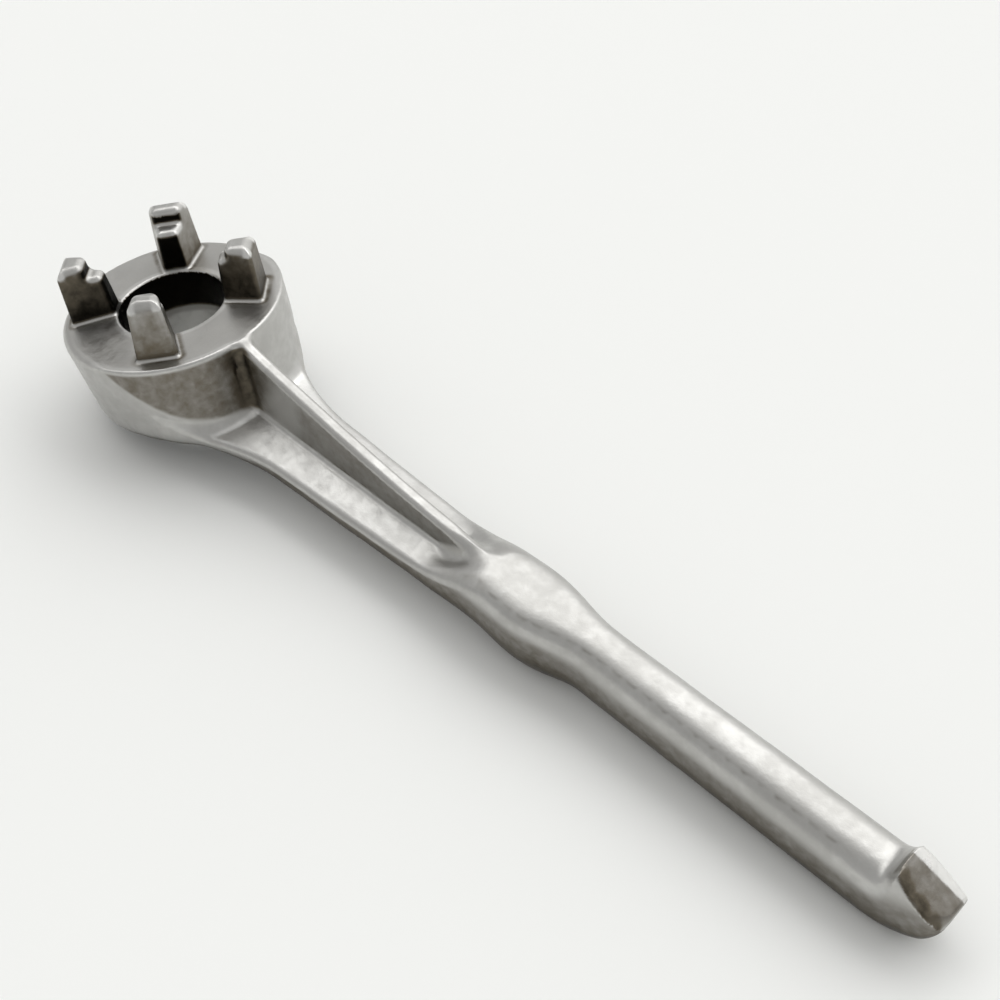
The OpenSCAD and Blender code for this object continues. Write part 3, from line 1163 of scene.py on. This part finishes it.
class Graph:
    """The node tree of a material or a world, under construction."""

    def __init__(self, owner: bpy.types.ID) -> None:
        """Gives the owner an empty tree.

        Args:
            owner: The material or the world.
        """
        owner.use_nodes = True
        self.tree = owner.node_tree
        self.tree.nodes.clear()

    def node(self, kind: str, settings: dict[str, Any], sockets: dict[Any, Any]) -> bpy.types.Node:
        """Adds a node.

        Args:
            kind: The node's type.
            settings: Attributes that are set first.
            sockets: Values or links of the inputs, by name or number.

        Returns:
            The new node.
        """
        node = self.tree.nodes.new(kind)
        for name, value in settings.items():
            setattr(node, name, value)
        for name, value in sockets.items():
            if isinstance(value, Value):
                value = value.socket
            if isinstance(value, bpy.types.NodeSocket):
                self.tree.links.new(value, node.inputs[name])
            else:
                node.inputs[name].default_value = value
        return node

    def value(self, kind: str, settings: dict[str, Any], sockets: dict[Any, Any], output: Any) -> Value:
        """Adds a node and wraps one of its outputs."""
        return Value(self, self.node(kind, settings, sockets).outputs[output])

    def blend(self, share_: Any, a: Any, b: Any) -> Value:
        """Mixes two colours."""
        sockets = {0: share_, 6: a, 7: b}
        return self.value("ShaderNodeMix", {"data_type": "RGBA"}, sockets, 2)

    def surface(self, sockets: dict[Any, Any]) -> None:
        """Ends a material with a Principled shader."""
        shader = self.value("ShaderNodeBsdfPrincipled", {}, sockets, "BSDF")
        self.node("ShaderNodeOutputMaterial", {}, {"Surface": shader})


@dataclass(frozen=True)
class AluminiumWithPaintedLight:
    """Tumbled cast aluminium: bright worn edges, a mottled satin skin, brown stains and painted shade in
    hollows, and painted light and shade in set places.
    """

    metal: Colour = (0.52, 0.515, 0.50, 1.0)
    dull: Colour = (0.455, 0.449, 0.433, 1.0)
    bright_metal_and_light: Colour = (0.76, 0.755, 0.735, 1.0)
    stain_and_shade: Colour = (0.13, 0.112, 0.085, 1.0)
    # Near-black for painted shade (upper bore, lug faces, underside) and for the wall's pit.
    black_dirt_and_shade: Colour = (0.010, 0.009, 0.007, 1.0)
    satin: float = 0.30
    wear_and_painted_light: float = 0.26
    rough: float = 0.5
    bump: float = 0.26
    bump_depth: float = 0.0005

    def build(self) -> bpy.types.Material:
        """Makes the material from Object coordinates and the skin's hollow, bright wear and light, and dirt
        and shade values.

        Returns:
            The material.
        """
        material = bpy.data.materials.new("cast_aluminium_with_painted_light")
        g = Graph(material)
        place = g.value("ShaderNodeTexCoord", {}, {}, "Object")
        hollow, bright_wear_and_light, dirt_and_painted_shade = (
            g.value("ShaderNodeAttribute", {"attribute_name": name}, {}, "Fac")
            for name in ("hollow", "bright_wear_and_light", "dirt_and_painted_shade")
        )

        def noise(scale: float, detail: float, rough: float, twist: float = 0.0) -> Value:
            """A noise pattern over the piece, about 0.5 on the whole."""
            sockets = {
                "Vector": place, "Scale": scale, "Detail": detail, "Roughness": rough, "Distortion": twist,
            }
            return g.value("ShaderNodeTexNoise", {}, sockets, "Fac")

        broad, patch, fine = noise(55.0, 4.0, 0.55, 0.4), noise(210.0, 5.0, 0.6), noise(1500.0, 3.0, 0.6)
        lumps, grit = noise(420.0, 2.0, 0.5, 0.3), noise(5200.0, 2.0, 0.5)
        mottle = (broad * 0.45 + patch * 0.4 + lumps * 0.15).step(0.37, 0.66)
        # Brown stain and painted shade in hollows, where metal closes round the skin.
        deep = (hollow + (patch - 0.5) * 0.35).step(0.22, 0.65)
        stain_and_shade = deep * (0.35 + 0.65 * broad.step(0.35, 0.6)) * 0.85
        pits = fine.step(0.70, 0.78) * patch.step(0.52, 0.66)
        tone = g.blend(mottle, self.dull, self.metal)
        # Brighter metal where edges are worn and where light is painted on.
        brightened = (bright_wear_and_light * (0.55 + 0.9 * lumps)).limit()
        tone = g.blend(brightened, tone, self.bright_metal_and_light)
        blotch = 0.4 + 1.2 * (patch * 0.5 + lumps * 0.5)
        # Dirt and painted shade together, blotched; worn and lit places lift it.
        darkening = (dirt_and_painted_shade * (blotch + (1.0 - blotch) * dirt_and_painted_shade**4.0) - bright_wear_and_light * 0.5).limit()
        # Brown for stains, pits, and the lighter dirt and painted shade.
        tone = g.blend((stain_and_shade + pits * 0.5 + darkening.step(0.0, 0.6)).limit(), tone, self.stain_and_shade)
        # The darkest values turn near-black: painted shade, and the wall's pit.
        tone = g.blend(darkening.step(0.5, 1.0), tone, self.black_dirt_and_shade)
        shine = self.satin + (self.rough - self.satin) * (1.0 - mottle) * 0.6
        shine = shine + (self.wear_and_painted_light - self.satin) * brightened + 0.2 * stain_and_shade + (fine - 0.5) * 0.1
        height = patch * 0.25 + lumps * 0.25 + fine * 0.3 + grit * 0.12 - pits * 0.5
        sockets = {"Strength": self.bump, "Distance": self.bump_depth, "Height": height}
        bump = g.value("ShaderNodeBump", {}, sockets, "Normal")
        g.surface({"Base Color": tone, "Metallic": 1.0, "Roughness": shine.limit(), "Normal": bump})
        return material


@dataclass(frozen=True)
class PaleFloor:
    """A plain pale floor."""

    colour: Colour = (0.9, 0.905, 0.89, 1.0)
    rough: float = 0.9
    half: float = 3.0

    def build(self) -> bpy.types.Object:
        """Makes the floor just under the wrench.

        Returns:
            The floor's object.
        """
        material = bpy.data.materials.new("pale_floor")
        Graph(material).surface({"Base Color": self.colour, "Roughness": self.rough})
        mesh = bpy.data.meshes.new("floor")
        s = self.half
        mesh.from_pydata([(-s, -s, 0.0), (s, -s, 0.0), (s, s, 0.0), (-s, s, 0.0)], [], [(0, 1, 2, 3)])
        mesh.materials.append(material)
        return placed("floor", mesh)


@dataclass(frozen=True)
class SoftBox:
    """A square area lamp aimed at the wrench, with its brightness as the white it shows."""

    name: str
    place: tuple[float, float, float]
    side: float
    white: float

    def build(self) -> bpy.types.Object:
        """Makes the lamp; its power is its brightness times pi times its area.

        Returns:
            The lamp's object.
        """
        lamp = bpy.data.lights.new(self.name, "AREA")
        lamp.size = self.side
        lamp.energy = self.white * math.pi * self.side**2
        thing = placed(self.name, lamp)
        away = Vector(self.place)
        turn = away.to_track_quat("Z", "Y").to_matrix().to_4x4()
        thing.matrix_world = Matrix.Translation(away) @ turn
        return thing


@dataclass
class Studio:
    """The floor, the lamp, the surroundings and the camera at the photograph's angle."""

    floor: PaleFloor = PaleFloor()
    lamp: SoftBox = SoftBox("far_panel", (-0.36, 0.65, 1.07), 0.9, 0.25)
    bright: float = 2.05
    dim: float = 0.55
    far_share: float = 0.36
    left_cut: float = 0.75
    tint: Colour = (1.0, 1.0, 0.99, 1.0)
    eye: tuple[float, float, float] = (0.16809, -0.16150, 0.30743)
    right: tuple[float, float, float] = (0.73146, 0.6817, -0.0160)
    ahead: tuple[float, float, float] = (-0.4525, 0.4677, -0.7593)
    lens: float = 55.648

    def surroundings(self) -> None:
        """A dim room with a bright wall on the far side that reaches over the wrench at the left.

        A direction is bright where it points up and past a border that runs slantwise over the
        wrench, to the far side and the left. Lower down, only the far side is half bright.
        """
        world = bpy.data.worlds.new("room")
        g = Graph(world)
        toward = g.value("ShaderNodeTexCoord", {}, {}, "Generated")
        parts = g.node("ShaderNodeSeparateXYZ", {}, {0: toward})
        x, y, z = (Value(g, parts.outputs[axis]) for axis in "XYZ")
        aside = (1.0 - (0.458 * y - 0.889 * x).step(0.32, 0.42)) * (1.0 - y.step(0.21, 0.35))
        over = (1.0 - aside) * z.step(0.38, 0.62) * x.step(-0.82, -0.62) * (-x).step(-0.82, -0.66)
        over = over * (1.0 - self.left_cut * y.step(0.4, 0.62) * (-x).step(0.3, 0.45))
        far = self.far_share * y.step(0.25, 0.5) * x.step(-0.6, -0.35) * (-x).step(-0.68, -0.5)
        share_ = over + far - over * far
        light = self.dim + (self.bright - self.dim) * share_
        shade = g.value("ShaderNodeBackground", {}, {"Color": self.tint, "Strength": light}, 0)
        g.node("ShaderNodeOutputWorld", {}, {"Surface": shade})
        bpy.context.scene.world = world

    def camera(self) -> bpy.types.Object:
        """Sets the camera up where the photograph was taken.

        Returns:
            The camera's object.
        """
        data = bpy.data.cameras.new("camera")
        data.sensor_fit, data.sensor_width, data.lens = "HORIZONTAL", 36.0, self.lens
        data.clip_start = 0.01
        back = -Vector(self.ahead).normalized()
        up = back.cross(Vector(self.right)).normalized()
        right = up.cross(back)
        thing = placed("camera", data)
        turn = Matrix((right, up, back)).transposed().to_4x4()
        thing.matrix_world = Matrix.Translation(self.eye) @ turn
        return thing

    def build(self) -> None:
        """Sets the whole studio up and makes its camera the scene's."""
        self.floor.build()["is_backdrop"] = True
        self.lamp.build()
        self.surroundings()
        bpy.context.scene.camera = self.camera()
        bpy.context.scene.view_settings.view_transform = "Standard"


def main() -> None:
    """Loads the frame, builds and dresses the casting's pieces, and sets the studio."""
    logging.basicConfig(level=logging.INFO, format="%(name)s: %(message)s")
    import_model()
    low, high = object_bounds()
    step = SurfaceNet.step
    net = SurfaceNet(np.array(low) / MM + INSET, np.array(high) / MM - INSET, step)
    casting = Casting()
    skin = net.skin(casting)
    LOG.info("skin of %d points and %d faces", len(skin.points), len(skin.quads))
    skin_material = AluminiumWithPaintedLight().build()
    pieces = Pieces(casting, skin)
    for node, solid in pieces.cut().items():
        piece = pieces.build(node, solid, skin_material)
        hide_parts(node.name.lower())
        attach(piece, "root")
        LOG.info("%s: %d faces", piece.name, len(piece.data.polygons))
    Studio().build()


if __name__ == "__main__":
    main()
